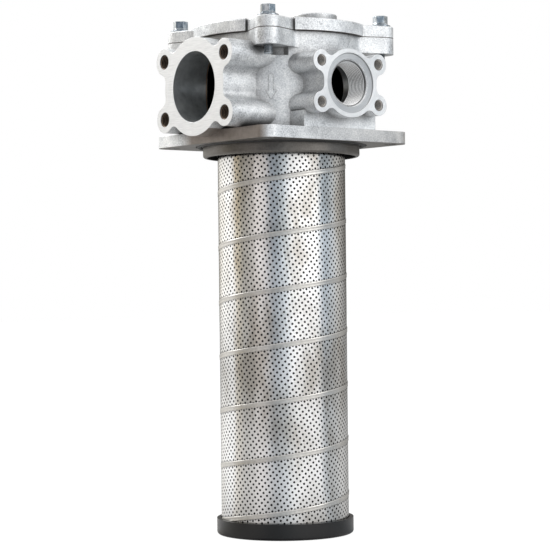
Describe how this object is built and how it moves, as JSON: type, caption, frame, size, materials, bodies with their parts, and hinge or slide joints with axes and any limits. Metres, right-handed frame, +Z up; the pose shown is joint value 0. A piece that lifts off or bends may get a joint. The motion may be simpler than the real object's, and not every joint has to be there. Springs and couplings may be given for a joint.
{
  "type": "tank top filter",
  "caption": "Tank top return filter: cast head with a flanged inlet, a threaded side port, a bolted cover and a long perforated element with a bypass valve.",
  "frame": {"origin": "centre of the mounting flange's underside, in the plane that rests on the tank", "axes": "+Z up along the element, -X out of the large flanged inlet, -Y out of the threaded side port"},
  "size_m": [0.2172, 0.2172, 0.5601],
  "materials": {
    "cast_aluminium": "as cast, satin",
    "zinc_steel": "zinc plated",
    "tinned_sheet": "bright tinned sheet",
    "spring_steel": "plain",
    "black_rubber": "matte",
    "black_plastic": "satin black",
    "filter_media": "matte fibre"
  },
  "bodies": {
    "filter": {"head_casting": "cast_aluminium", "cover": "cast_aluminium", "cover_bolts": "zinc_steel", "element_top_cap": "black_plastic", "element_handle": "spring_steel", "outer_sleeve": "tinned_sheet", "pleated_media": "filter_media", "inner_core": "tinned_sheet", "bottom_cap": "black_plastic", "bypass_guide": "spring_steel", "bypass_spring": "spring_steel", "cover_seal": "black_rubber", "element_seal": "black_rubber", "tank_seal": "black_rubber"},
    "bypass": {"bypass_poppet": "spring_steel", "bypass_poppet_seal": "black_rubber", "spring_retainer": "spring_steel", "retainer_nut": "zinc_steel"}
  },
  "joints": [
    {"name": "bypass_slide", "type": "slide", "parent": "filter", "child": "bypass", "axis": [0, 0, -1], "range_m": [0, 0.004], "stiffness_N_per_m": 5700, "springref_m": -0.003, "deforming": ["bypass_spring"]}
  ]
}
